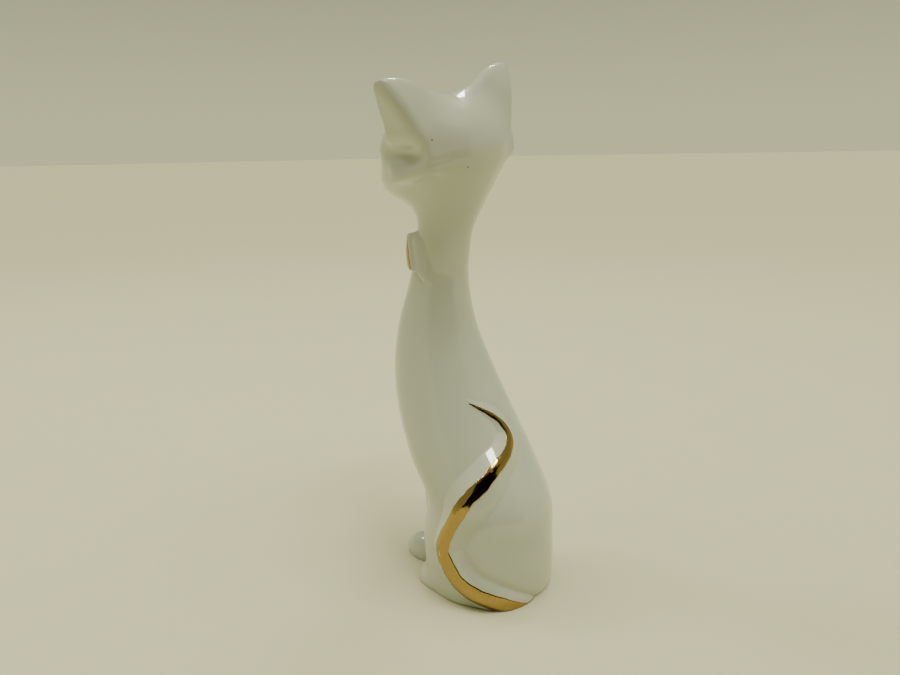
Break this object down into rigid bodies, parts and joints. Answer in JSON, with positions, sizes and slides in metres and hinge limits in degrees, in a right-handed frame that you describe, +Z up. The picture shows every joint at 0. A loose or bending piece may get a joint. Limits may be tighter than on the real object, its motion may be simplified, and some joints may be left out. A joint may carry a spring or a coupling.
{
  "type": "ceramic cat figurine",
  "caption": "Slim seated cat figurine in white glazed ceramic, hollow and open underneath, with a long neck, a bow at the throat and a gilded tail curling up its flank.",
  "frame": {"origin": "middle of the whole figure's outline, on the surface it stands on", "axes": "+Z up from the foot rim to the ears, the cat looks along -Y, its left side is +X"},
  "size_m": [0.0622, 0.0727, 0.196],
  "materials": {
    "glaze": "gloss",
    "gold": "polished lustre",
    "enamel": "gloss"
  },
  "bodies": {
    "root": {"body_shell": "glaze", "head_shell": "glaze", "tail_relief": "glaze", "tail_gilding": "gold", "bow_loop_left": "glaze", "bow_loop_right": "glaze", "bow_knot": "glaze", "bow_gilding_left": "gold", "bow_gilding_right": "gold", "eye_left": "enamel", "eye_right": "enamel", "nose": "enamel"}
  },
  "joints": []
}
